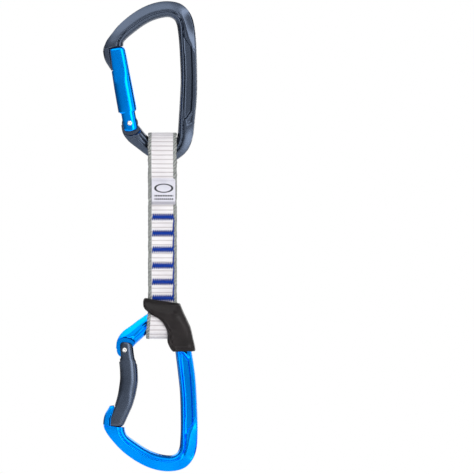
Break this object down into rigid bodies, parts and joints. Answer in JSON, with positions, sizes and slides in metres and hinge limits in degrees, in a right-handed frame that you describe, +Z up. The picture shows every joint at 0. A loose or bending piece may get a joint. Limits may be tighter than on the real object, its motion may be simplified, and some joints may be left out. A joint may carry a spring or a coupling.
{
  "type": "climbing quickdraw",
  "caption": "Two keylock carabiners, one straight-gate and one bent-gate, joined by a bar-tacked nylon sling, with a rubber keeper on the lower eye.",
  "frame": {"origin": "inner crown of the upper carabiner's bow, the point that hangs on a bolt hanger", "axes": "+Z up along the quickdraw, +X from the gates towards the spines, +Y away from the front face"},
  "size_m": [0.0578, 0.0222, 0.2868],
  "materials": {
    "grey_anodised": "satin dark grey anodised",
    "blue_anodised": "satin bright blue anodised",
    "steel": "bright turned stainless steel",
    "webbing": "ribbed white nylon tape with grey selvedges",
    "tack_thread": "blue polyamide thread",
    "label": "smooth pale grey woven label",
    "label_thread": "pale grey thread",
    "rubber": "satin black moulded rubber"
  },
  "bodies": {
    "upper_carabiner": {"upper_frame": "grey_anodised"},
    "upper_gate_body": {"upper_gate": "blue_anodised", "upper_gate_rivet": "steel", "upper_gate_spring": "steel"},
    "upper_plunger_body": {"upper_gate_plunger": "steel"},
    "sling_body": {"sling_webbing": "webbing", "label": "label", "label_stitches_top": "label_thread", "label_stitches_bottom": "label_thread", "rubber_keeper": "rubber", "bar_tack_1": "tack_thread", "bar_tack_2": "tack_thread", "bar_tack_3": "tack_thread", "bar_tack_4": "tack_thread", "bar_tack_5": "tack_thread", "bar_tack_6": "tack_thread"},
    "lower_carabiner": {"lower_frame": "blue_anodised"},
    "lower_gate_body": {"lower_gate": "grey_anodised", "lower_gate_rivet": "steel", "lower_gate_spring": "steel"},
    "lower_plunger_body": {"lower_gate_plunger": "steel"}
  },
  "joints": [
    {"name": "upper_gate_hinge", "type": "hinge", "parent": "upper_carabiner", "child": "upper_gate_body", "pos_m": [-0.0229, 0, -0.0647], "axis": [0, 1, 0], "range_deg": [0, 38], "stiffness_Nm_per_rad": 0.25, "springref_deg": -20.05},
    {"name": "upper_plunger_slide", "type": "slide", "parent": "upper_gate_body", "child": "upper_plunger_body", "axis": [-0.1781, 0, 0.984], "range_m": [0, 0.0014], "deforming": ["upper_gate_spring"]},
    {"name": "sling_swing", "type": "hinge", "parent": "upper_carabiner", "child": "sling_body", "pos_m": [-0.003, 0, -0.0814], "axis": [1, 0, 0], "range_deg": [-80, 80]},
    {"name": "lower_swing", "type": "hinge", "parent": "sling_body", "child": "lower_carabiner", "pos_m": [-0.004, 0, -0.1855], "axis": [1, 0, 0], "range_deg": [-6.5, 6.5], "deforming": ["rubber_keeper"]},
    {"name": "lower_gate_hinge", "type": "hinge", "parent": "lower_carabiner", "child": "lower_gate_body", "pos_m": [-0.02605, 0, -0.20293], "axis": [0, -1, 0], "range_deg": [0, 38], "stiffness_Nm_per_rad": 0.25, "springref_deg": -20.05},
    {"name": "lower_plunger_slide", "type": "slide", "parent": "lower_gate_body", "child": "lower_plunger_body", "axis": [0.0844, 0, -0.9964], "range_m": [0, 0.0014], "deforming": ["lower_gate_spring"]}
  ],
  "couplings": [
    {"joint": "upper_plunger_slide", "follows": "upper_gate_hinge", "m_per_rad": 0.0019},
    {"joint": "lower_plunger_slide", "follows": "lower_gate_hinge", "m_per_rad": 0.0019}
  ]
}
